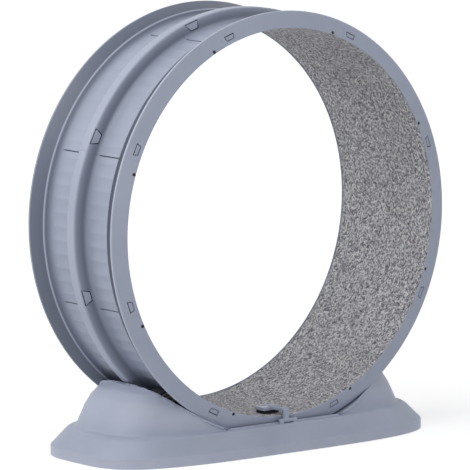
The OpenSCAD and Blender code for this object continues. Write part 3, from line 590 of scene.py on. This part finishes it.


def wallShades(s, w, mesh):
    # painted shade of the channels: full on the walls, fading over the floor as a falling exponential of the way from
    # the wall's foot, and faster at the walls that look to the back; the bend gets a painted highlight, and the strip
    # behind the front crest gets the deepest painted shadow
    points, normals = pointsOf(mesh)
    x, y, z = points.T
    far, across, front = np.hypot(x, z - axisZ), np.abs(y), y < 0
    outward = normals[:, 0] * x / far + normals[:, 2] * (z - axisZ) / far
    # painted shade over the floors next to the walls' feet
    fade = lambda way, kind: w[kind][0] * np.exp(-np.maximum(way + w["lead"], 0) / w[kind][1])
    ribFoot, edgeFoot = across - s["rib"][2], s["floor"][1] - across
    foot = np.maximum(np.where(front, fade(ribFoot, "frontRib"), fade(ribFoot, "rearRib")),
                      np.where(front, fade(edgeFoot, "frontEdge"), fade(edgeFoot, "rearEdge")))
    low = 1 - smoothStep(far, s["bend"][0] - 1, s["bend"][0] + 5)
    # painted shade on the rib's sides, fading towards its top
    rib = (1 - smoothStep(outward, *w["ribTurn"])) \
        * (1 - w["flankLight"] * smoothStep(far, s["floor"][0] + 8, s["rib"][0] - 1))
    # painted highlight along the rib's top
    top = w["ribTop"] * smoothStep(far, s["rib"][0] - 1, s["rib"][0] - 0.2)
    shade = np.where(across < s["rib"][2] + 1, np.maximum(rib, foot * low) + top, foot * low)
    # painted shadow behind each crest, deepest in the strip behind the front one
    up = np.clip((across - s["bend"][1]) / (s["crest"][1] - s["bend"][1]), 0, 1)
    wall = np.where(front, w["frontWall"], w["rearWall"][0] - w["rearWall"][1] * up) \
        * (1 - smoothStep(across, s["crest"][1] - 1, s["crest"][1]))
    shade = np.where((across > s["bend"][1]) & (far > s["bend"][0] - 2), wall, shade)
    # painted highlight along the rear flange's bend
    wide, light = w["bend"]
    bendHighlight = np.exp(-((across - s["bend"][1]) / wide) ** 2) * (np.abs(far - s["bend"][0]) < 4) * ~front
    shade = shade * (1 - bendHighlight) + light * bendHighlight
    # painted highlight along the front crest
    crest = front & (across > s["crest"][1] - 0.3) & (far > s["crest"][0] - 2.5)
    shade = np.where(crest, w["crest"] * (1 - smoothStep(across, s["crest"][2] - 0.5, s["crest"][2] + 0.6)), shade)
    inChannel = (far > s["floor"][0] - 3) & (across < s["crest"][2] + 1)
    # painted shade in the groove along each seam
    seam = (far < s["floor"][0] - 1.6) & (across > s["rib"][2]) & (across < s["floor"][1])
    setShade(mesh, np.where(seam, w["seam"], shade) * inChannel)


def makeRim(s):
    places = keyPlaces(s)
    sweep = 360 / s["count"]
    start = s["seams"]
    cuts, keys = [], {"flange": [], "rib": []}
    for kind, (past, far, across, slope, sizes) in places.items():
        corners = [s["keyRound"]] * 4
        inner, outer = s["through"]
        hole, faces = slab(roundCorners(keystone(sizes, 0), corners, 2), -s["skin"] - inner, outer, 0.01)
        cuts.append((onWall(s, start + past, far, across, slope, hole), faces))
        cap, faces = slab(roundCorners(keystone(sizes, s["keyGap"]), corners, 3), -s["skin"], -s["keyBelow"],
                          s["keyEdge"])
        keys[kind] = (onWall(s, start + past, far, across, slope, cap), faces)
    pin = s["pin"]
    hole, faces = slab(disc(pin["radius"], 24), -pin["depth"], outer, 0.01)
    face = s["face"][1] - (pin["at"] - s["face"][0]) * slopes(s)["face"]
    cuts.append((onWall(s, start + sweep - math.degrees(pin["before"] / pin["at"]), pin["at"], face, 0, hole), faces))
    radius, low, high = pin["head"]
    head, headFaces = slab(disc(radius, 28), low, high, 0.02, 0.9)
    pins = (onWall(s, start + sweep - math.degrees(pin["before"] / pin["at"]), pin["at"], face, slopes(s)["face"],
                   head), headFaces)
    cutter = addObject("windows", meshFrom("windows", *joined(cuts + [mirrored(c) for c in cuts])))
    segment = addObject("segment", segmentMesh(s, start))
    cut = segment.modifiers.new("windows", "BOOLEAN")
    cut.operation, cut.solver, cut.object = "DIFFERENCE", "EXACT", cutter
    mesh = applied(segment)
    wallShades(s, paintedShading, mesh)
    print("segment faces", len(mesh.polygons))
    for i in range(s["count"]):
        addPiece(f"rimSegment{i + 1}", turned(mesh, i * sweep), "rim", "wheel",
                 [f"rim_segment_{i + 1}"])
    bpy.data.objects.remove(cutter)
    bpy.data.objects.remove(segment)

    def around(part):
        mesh = meshFrom("key", *part)
        shape = bmesh.new()
        for i in range(s["count"]):
            shape.from_mesh(turned(mesh, i * sweep))
        out = bpy.data.meshes.new("keys")
        shape.to_mesh(out)
        shape.free()
        return out

    addPiece("frontKeys", around(keys["flange"]), "key", "wheel", ["front_flange_keys"])
    addPiece("rearKeys", around(mirrored(keys["flange"])), "key", "wheel", ["rear_flange_keys"])
    addPiece("ribKeys", around(joined([keys["rib"], mirrored(keys["rib"])])), "key", "wheel",
             ["rib_keys"])
    addPiece("rimPins", around(joined([pins, mirrored(pins)])), "pin", "wheel", ["rim_pins"])


makeRim(rim)
print("rim made")

# Carpet

carpet = dict(
    inner=460.0, outer=464.0, edge=168.6, around=900, across=76, seed=7,
    tuft=(0.55, 0.7, 0.6), lump=(0.35, 5, 5),                    # height, and softness along and across, in grid steps
    mean=0.9, edgeDrop=1.4, edgeSoft=3.5, share=0.5, limits=(-0.85, 1.2))


def blurred(field, along, across):  # a random field softened along both ways, closed round the rim
    f = np.fft.rfft2(field)
    ky, kx = np.fft.fftfreq(field.shape[0])[:, None], np.fft.rfftfreq(field.shape[1])[None]
    soft = np.fft.irfft2(f * np.exp(-2 * (math.pi * ky * along) ** 2 - 2 * (math.pi * kx * across) ** 2), field.shape)
    return soft / soft.std()


def makeCarpet(s):
    # a closed ring: the pile's face is the inner radius raised and lowered by a blurred random field that dies
    # away at the edges, and the backing lies on the rim's inside
    rng = np.random.default_rng(s["seed"])
    n, m = s["around"], s["across"]
    theta = np.arange(n) * 360 / n
    y = np.linspace(-1, 1, m) * s["edge"]
    height = sum(high * blurred(rng.normal(size=(n, m)), *soft) for high, *soft in (s["tuft"], s["lump"]))
    edge = smoothStep(s["edge"] - np.abs(y), 0, s["edgeSoft"])
    pile = s["inner"] + s["mean"] + s["edgeDrop"] * (1 - edge)[None] \
        - np.clip(s["share"] * height, *s["limits"]) * edge[None]
    top = aroundAxis(pile, y[None], theta[:, None])
    back = aroundAxis(np.full((1, 2), s["outer"] - 0.02), np.array([[s["edge"], -s["edge"]]]), theta[:, None])
    points = np.concatenate([top, back], 1)
    cols = m + 2
    mesh = meshFrom("carpet", points.reshape(-1, 3), [gridFaces(n, cols, True, True)], 70)
    co = np.zeros(len(mesh.vertices) * 3)
    mesh.vertices.foreach_get("co", co)
    x, y, z = co.reshape(-1, 3).T
    corner = np.zeros(len(mesh.loops), np.int32)
    mesh.loops.foreach_get("vertex_index", corner)
    angle = np.arctan2(x, z - axisZ * mm)[corner]
    faceOf = np.repeat(np.arange(len(mesh.polygons)), 4)
    lowest = np.minimum.reduceat(angle, np.arange(0, len(angle), 4))[faceOf]
    angle = np.where((lowest < -3) & (angle > 3), angle - 2 * math.pi, angle)   # the one column that closes the ring
    uv = mesh.uv_layers.new(name="along")
    uv.data.foreach_set("uv", np.stack([angle * s["inner"] * mm, y[corner]], -1).astype(np.float32).ravel())
    piece = addPiece("carpet", mesh, "carpet", "wheel", ["carpet_tread"])


makeCarpet(carpet)
print("carpet made")

# Base shell

base = dict(
    a=487, b=212, rimZ=1, power=3.6, lip=26, shelf=67, shelfIn=4.5,
    cradleA=431, cradleB=182, cradleTop=178, cradlePower=3.2,
    saddle=505, trough=175.75, wall=4, soft=dict(bottom=1.3, lip=7, step=4, shelf=3.0, foot=7, cradle=14),
    # the lip's and the cradle's values below are negative: painted light
    wellX=(262.0, 316.1), wellY=(41.2, 98.05), lipShade=-0.45, cradleShade=-0.2, columns=400, crease=1.6,
    steps=dict(up=33, crowd=1.25, down=8, across=(9, 6, 5)))     # rows up the cradle, down the trough, over the saddle


def baseProfile(s):
    # rings of the base from its rim up: half length, half depth, height and squareness
    inA, inB = s["a"] - s["cradleA"] - s["shelfIn"], s["b"] - s["cradleB"] - s["shelfIn"]
    rise = s["cradleTop"] - s["shelf"]
    skirt = np.array([(0, 0.04), (0.86, 0.76), (0.96, 0.9), (1, 1)])
    cradle = np.array([(0, 1, 1), (0.2, 0.974, 0.988), (0.44, 0.942, 0.968), (0.66, 0.904, 0.918),
                       (0.84, 0.858, 0.835), (0.94, 0.8, 0.725), (1, 0.71, 0.55)])
    r = s["soft"]
    rings = [(s["a"], s["b"], s["rimZ"], s["power"]), (s["a"], s["b"], s["lip"] - 1.5, s["power"])]
    rings += [(s["a"] - q * inA, s["b"] - q * inB, s["lip"] + h * (s["shelf"] - s["lip"]), s["power"])
              for h, q in skirt]
    rings += [(p * s["cradleA"], q * s["cradleB"], s["shelf"] + h * rise, s["cradlePower"]) for h, p, q in cradle]
    radii = [0, r["lip"], r["lip"], r["step"], r["step"], r["shelf"], r["foot"]] + [r["cradle"]] * 6
    rings = np.array(rings, float)
    path = roundCorners(rings[:, :3], radii, 5, closed=False)
    blend = smoothStep(path[:, 0], s["cradleA"] - 2, s["cradleA"] + s["shelfIn"])
    squareness = s["cradlePower"] + (s["power"] - s["cradlePower"]) * blend
    return np.column_stack([path, squareness])


def superPoints(ring, t):
    # a superellipse: the cosine and sine are raised to 2 over the squareness, each keeping its sign
    c, q = np.cos(t), np.sin(t)
    n = 2 / ring[:, 3][:, None]
    x = ring[:, 0][:, None] * np.sign(c) * np.abs(c) ** n
    y = ring[:, 1][:, None] * np.sign(q) * np.abs(q) ** n
    return x, y, np.broadcast_to(ring[:, 2][:, None], x.shape)


def creaseOf(s, profile, t):
    # for each angle the first place up the cradle that lies inside the wheel's cylinder
    fine = refine(profile, 0.6, closed=False)
    x, y, z = superPoints(fine, t)
    gap = np.hypot(x, z - axisZ) - s["saddle"]
    inside = (gap < 0) & (z > s["shelf"] + 0.02)
    first = np.where(inside.any(0), inside.argmax(0), len(fine) - 1)
    cols = np.arange(len(t))
    g0, g1 = gap[first - 1, cols], gap[first, cols]
    share = np.clip(np.where(g0 > 0, g0 / np.maximum(g0 - g1, 1e-9), 0), 0, 1)
    return first - 1 + share, fine


def makeBase(s):
    profile = baseProfile(s)
    foot = np.argmax(profile[:, 2] > s["shelf"] + 0.01)            # first ring above the shelf
    dense = np.linspace(0, math.pi / 2, 4001)
    x, y, z = superPoints(profile[2:3], dense)
    length = np.concatenate([[0], np.cumsum(np.hypot(np.diff(x[0]), np.diff(y[0])))])
    quarter = np.interp(np.linspace(0, length[-1], s["columns"] // 4 + 1), length, dense)
    # columns that meet the wells' sides and the place where the saddle comes down to the shelf
    where, fine = creaseOf(s, profile, dense)
    low = np.floor(where).astype(int)
    part = (where - low)[:, None]
    at = fine[low] * (1 - part) + fine[np.minimum(low + 1, len(fine) - 1)] * part
    xs = at[:, 0] * np.abs(np.cos(dense)) ** (2 / at[:, 3])
    reachX = math.sqrt(s["saddle"] ** 2 - (axisZ - s["shelf"]) ** 2)
    for wanted in (s["wellX"][0], s["wellX"][1], reachX - 0.05, reachX + 0.05):
        t = dense[np.argmin(np.abs(xs - wanted))]
        quarter[np.argmin(np.abs(quarter - t))] = t
    quarter = np.unique(quarter)
    t = np.concatenate([quarter[:-1], math.pi - quarter[:0:-1], math.pi + quarter[:-1], 2 * math.pi - quarter[:0:-1]])
    where, fine = creaseOf(s, profile, t)
    # outer rows: the fixed rings up to the shelf, then rows spaced from the cradle's foot to the crease
    x0, y0, z0 = superPoints(profile[:foot], t)
    footAt = np.argmax(fine[:, 2] > s["shelf"] + 0.005) - 1
    steps = s["steps"]
    up = np.linspace(0, 1, steps["up"] + 1)[1:, None] ** steps["crowd"]
    place = footAt + up * np.maximum(where - footAt, 0)[None]
    low = np.floor(place).astype(int)
    part = (place - low)[..., None]
    at = fine[low] * (1 - part) + fine[np.minimum(low + 1, len(fine) - 1)] * part
    c, q = np.cos(t)[None], np.sin(t)[None]
    x1 = at[..., 0] * np.sign(c) * np.abs(c) ** (2 / at[..., 3])
    y1 = at[..., 1] * np.sign(q) * np.abs(q) ** (2 / at[..., 3])
    z1 = at[..., 2]
    level = where <= footAt + 0.6                                  # columns in front of and behind the wheel
    x1 = np.where(level[None], x0[-1][None], x1)
    y1 = np.where(level[None], y0[-1] + (np.sign(q) * s["trough"] - y0[-1]) * up, y1)
    z1 = np.where(level[None], s["shelf"], z1)
    # inner rows: down the trough's wall, then across the saddle to the middle
    endX, endY, endZ = x1[-1], y1[-1], z1[-1]
    bed = axisZ - np.sqrt(s["saddle"] ** 2 - endX ** 2)
    down = np.linspace(0, 1, steps["down"] + 1)[1:, None]
    z2 = endZ + (bed - endZ) * down
    x2, y2 = (np.broadcast_to(v, z2.shape) for v in (endX, endY))
    width = np.abs(endY)
    k = np.clip((width - 12) / s["wellY"][1], 0, 1)
    knots = np.stack([width, s["wellY"][1] * k, s["wellY"][0] * k, np.zeros_like(k)])
    across = np.concatenate([knots[i] + (knots[i + 1] - knots[i]) * np.linspace(0, 1, n + 1)[1:, None]
                             for i, n in enumerate(steps["across"])])
    x3 = np.broadcast_to(endX, across.shape)
    y3 = np.sign(endY)[None] * across
    z3 = np.broadcast_to(bed, across.shape)
    grid = np.stack([np.concatenate(v) for v in ((x0, x1, x2, x3), (y0, y1, y2, y3), (z0, z1, z2, z3))], -1)
    rows, cols = grid.shape[:2]
    faces = gridFaces(rows, cols, wrapCols=True)
    centre = grid.reshape(-1, 3)[faces].mean(1)
    well = (np.abs(centre[:, 0]) > s["wellX"][0]) & (np.abs(centre[:, 0]) < s["wellX"][1]) \
        & (np.abs(centre[:, 1]) > s["wellY"][0]) & (np.abs(centre[:, 1]) < s["wellY"][1]) \
        & (faces.min(1) // cols >= rows - 1 - sum(steps["across"]))
    mesh = meshFrom("baseShell", grid.reshape(-1, 3), [faces[~well]], 30, merge=0.02)
    piece = addPiece("baseShell", mesh, "base", "base", ["base_shell"])
    addBevel(piece, s["crease"], 3, 38)
    thick = piece.modifiers.new("wall", "SOLIDIFY")
    thick.thickness, thick.offset = s["wall"] * mm, -1
    applied(piece, 30)
    height = pointsOf(piece.data)[0][:, 2]
    # painted light: the lip and the cradle above the shelf are made lighter than the plain tone
    setShade(piece.data, s["lipShade"] * (1 - smoothStep(height, s["lip"] - 5, s["lip"] + 1))
             + s["cradleShade"] * smoothStep(height, s["shelf"], s["shelf"] + 40))
    print("base faces", len(piece.data.polygons))


makeBase(base)
print("base made")

# Stop lever

lever = dict(
    pivot=(-181.05, 73.5), tread=83, armHeight=21, armFall=3, armReach=64, armWidth=17,
    postWidth=14, postThick=8, shoe=(54, 38, 8), shoePast=24, shoeUp=16, slot=(33, 5, 3),
    barrel=4.6, barrelX=(-8.5, 19.5), earX=((-20.8, -8.8), (19.8, 31.8)), ear=4.7, bore=2.25,
    pad=0.5, padIn=3, postRound=[1.6, 1.6, 2.7, 1.6, 1.6, 8], postEnd=12, postStep=(1.5, 2), postEdge=1.4,
    armStart=4, armRound=3, armEdge=(1.6, 2.2), over=4,          # a cut reaches over the face by so much
    rest=dict(inset=2.6, past=15, depth=1.4, edge=0.9, round=[4, 4, 5.5, 5.5]),
    shoeRound=5, shoeEdge=(0.8, 1.8), slotRound=2.2, padRound=4, padEdge=0.6)


def alongX(outline, low, high, edge, steps=4):  # a slab drawn in Y and Z that stands along X
    points, faces = slab(outline, low, high, edge, steps=steps)
    return points[:, [2, 0, 1]], faces


def ringAlongX(outer, inner, low, high, edge, centre):
    # a closed turned profile: outer wall, rounded rims and bore, carried once round X
    profile = roundCorners([(inner, low), (outer, low), (outer, high), (inner, high)],
                           [0.2, edge, edge, 0.2], 4)
    t = np.linspace(0, 2 * math.pi, 48, endpoint=False)[None]
    r, x = profile[:, :1], profile[:, 1:]
    points = np.stack(np.broadcast_arrays(x, centre[0] + r * np.cos(t), centre[1] + r * np.sin(t)), -1)
    return points.reshape(-1, 3), [gridFaces(len(profile), t.shape[1], True, True)]


def cutFrom(piece, cutters, sharp=35):
    tools = []
    for i, part in enumerate(cutters):
        tool = addObject("tool", meshFrom("tool", *part))
        cut = piece.modifiers.new("cut", "BOOLEAN")
        cut.operation, cut.solver, cut.object = "DIFFERENCE", "EXACT", tool
        tools.append(tool)
    applied(piece, sharp)
    for tool in tools:
        bpy.data.objects.remove(tool)


def makeLever(s):
    y0, z0 = s["pivot"]
    top, thick = s["tread"] + s["armHeight"], s["postThick"]
    start, end = y0 - thick / 2, y0 + s["armReach"]
    # post: a slab standing along X from the barrel up, bent over into the arm's start
    under, below = s["postStep"]
    bent = end - s["postEnd"]
    post = roundCorners([(start, z0), (start + thick, z0), (start + thick, top - thick), (bent, top - thick - under),
                         (bent, top - below), (start, top)], s["postRound"], 6)
    # arm: a plan outline with a round end, sheared down along its length
    side, begin = s["armWidth"] / 2, start + s["armStart"]
    plan = roundCorners([(-side, begin), (side, begin), (side, end), (-side, end)],
                        [s["armRound"]] * 2 + [side * 0.98] * 2, 10)
    arm, armFaces = slab(plan, top - thick, top, *s["armEdge"], steps=5)
    fall = lambda y: s["armFall"] * np.clip((y - start) / (end - start), 0, 1)
    arm[:, 2] -= fall(arm[:, 1])
    r = s["rest"]
    wide, near, past = side - r["inset"], start + r["past"], end - r["inset"]
    rest = roundCorners([(-wide, near), (wide, near), (wide, past), (-wide, past)], r["round"], 8)
    dish, dishFaces = slab(rest, top - r["depth"], top + s["over"], r["edge"], 0.01, steps=4)
    dish[:, 2] -= fall(dish[:, 1])
    w, l, t = s["shoe"]
    far = end + s["shoePast"]
    shoeTop = s["tread"] + s["shoeUp"]
    shoe = roundCorners([(-w / 2, far - l), (w / 2, far - l), (w / 2, far), (-w / 2, far)], [s["shoeRound"]] * 4, 7)
    shoePart = slab(shoe, shoeTop - t, shoeTop, *s["shoeEdge"], steps=5)
    sl, sw, sd = s["slot"]
    mid = end + s["shoePast"] / 2
    slot = roundCorners([(-sl / 2, mid - sw / 2), (sl / 2, mid - sw / 2), (sl / 2, mid + sw / 2),
                         (-sl / 2, mid + sw / 2)], [s["slotRound"]] * 4, 6)
    parts = [alongX(post, -s["postWidth"] / 2, s["postWidth"] / 2, s["postEdge"]), (arm, armFaces), shoePart,
             ringAlongX(s["barrel"], s["bore"], *s["barrelX"], 0.6, s["pivot"])]
    piece = addPiece("stopLever", meshFrom("stopLever", *parts[0]), "lever", "lever", ["stop_lever"])
    tools = []
    for part in parts[1:]:
        tool = addObject("tool", meshFrom("tool", *part))
        union = piece.modifiers.new("union", "BOOLEAN")
        union.operation, union.solver, union.object = "UNION", "EXACT", tool
        tools.append(tool)
    applied(piece)
    for tool in tools:
        bpy.data.objects.remove(tool)
    bore = alongXDisc(s["bore"], s["barrelX"][0] - 1, s["barrelX"][1] + 1, s["pivot"])
    cutFrom(piece, [(dish, dishFaces), slab(slot, shoeTop - sd, shoeTop + s["over"], 0.5, 0.01), bore])
    addBevel(piece, 0.35, 2, 40)
    applied(piece)
    padX, padLow, padHigh = w / 2 - s["padIn"], far - l + s["padIn"], far - s["padIn"]
    pad = roundCorners([(-padX, padLow), (padX, padLow), (padX, padHigh), (-padX, padHigh)],
                       [s["padRound"]] * 4, 6)
    points, faces = slab(refine(pad, 3), s["tread"] + s["pad"], shoeTop - t, s["padEdge"], 0.02)
    # the pad's underside follows the tread: its height falls as the tread's circle does
    reach = carpet["inner"] - s["pad"]
    lift = reach - np.sqrt(reach ** 2 - points[:, 0] ** 2)
    share = (shoeTop - t - points[:, 2]) / (shoeTop - t - s["tread"] - s["pad"])
    points[:, 2] += lift * np.clip(share, 0, 1)
    addPiece("brakePad", meshFrom("brakePad", points, faces, 50), "brake", "lever", ["brake_pad"])


def alongXDisc(radius, low, high, centre):
    return alongX(disc(radius, 48) + np.array(centre), low, high, 0.01)


def makeEars(s):
    y0, z0 = s["pivot"]
    e = s["ear"]
    t = np.linspace(math.pi, 0, 25)
    outline = np.concatenate([np.array([(y0 + e, base["shelf"]), (y0 - e, base["shelf"])]),
                              np.stack([y0 + e * np.cos(t), z0 + e * np.sin(t)], -1)])
    parts = [alongX(outline, low, high, 1.0) for low, high in s["earX"]]
    piece = addPiece("leverEars", meshFrom("leverEars", *joined(parts)), "lever", "base",
                     ["lever_ears"])
    cutFrom(piece, [alongXDisc(s["bore"], s["earX"][0][0] - 2, s["earX"][1][1] + 2, s["pivot"])])


makeLever(lever)
makeEars(lever)
print("lever made")

# The frame's own pieces that keep their shape

kept = dict(
    splice=["rib_splices", "front_flange_splices", "rear_flange_splices"], plate=["bottom_plate"],
    foot=["rubber_feet"], zinc=["base_screws", "bracket_screws", "axle_clips", "axle_washers"],
    axle=["roller_axles", "lever_pin"])
for corner in ("front_left", "front_right", "rear_left", "rear_right"):
    for finish, part in (("bracket", "bracket"), ("tyre", "tyre"), ("hub", "hub"), ("bearing", "bearings")):
        kept.setdefault(finish, []).append(f"{corner}_{part}")
for finish, names in kept.items():
    for name in names:
        for slot in nodes[name].material_slots:
            slot.material = finishes[finish]
print("kept pieces finished")

# Floor

floor = dict(size=30.0, colour=0.86, glow=(0.58, 0.80), reach=(1.0, 5.0))


def makeFloor(s):
    material, tree = newMaterial("paleFloor")
    mesh = meshFrom("floor", np.array([(-1, -1, 0), (1, -1, 0), (1, 1, 0), (-1, 1, 0)]) * s["size"] * 500,
                    [np.array([[0, 1, 2, 3]])])
    cloud = between(tree, noise(tree, objectPoints(tree), 0.8, 2), 0.985, 1.0)
    tone = addNode(tree, "ShaderNodeVectorMath", {0: (s["colour"],) * 3, 3: cloud}, operation="SCALE").outputs[0]
    matt = addNode(tree, "ShaderNodeBsdfDiffuse", {"Color": tone})
    # the glow grows with the way from the middle, as the lamps' light falls off there
    away = addNode(tree, "ShaderNodeVectorMath", {0: addNode(tree, "ShaderNodeTexCoord").outputs["Object"]},
                   operation="LENGTH").outputs["Value"]
    level = between(tree, away, *s["glow"], *s["reach"])
    glow = addNode(tree, "ShaderNodeEmission", {"Color": (1, 1, 1, 1), "Strength": addNode(
        tree, "ShaderNodeMath", {0: backgroundRays(tree), 1: level}, operation="MULTIPLY").outputs[0]})
    both = addNode(tree, "ShaderNodeAddShader", {0: matt.outputs[0], 1: glow.outputs[0]})
    addNode(tree, "ShaderNodeOutputMaterial", {"Surface": both.outputs[0]})
    mesh.materials.append(material)
    addObject("floor", mesh)


makeFloor(floor)
print("scene ready")
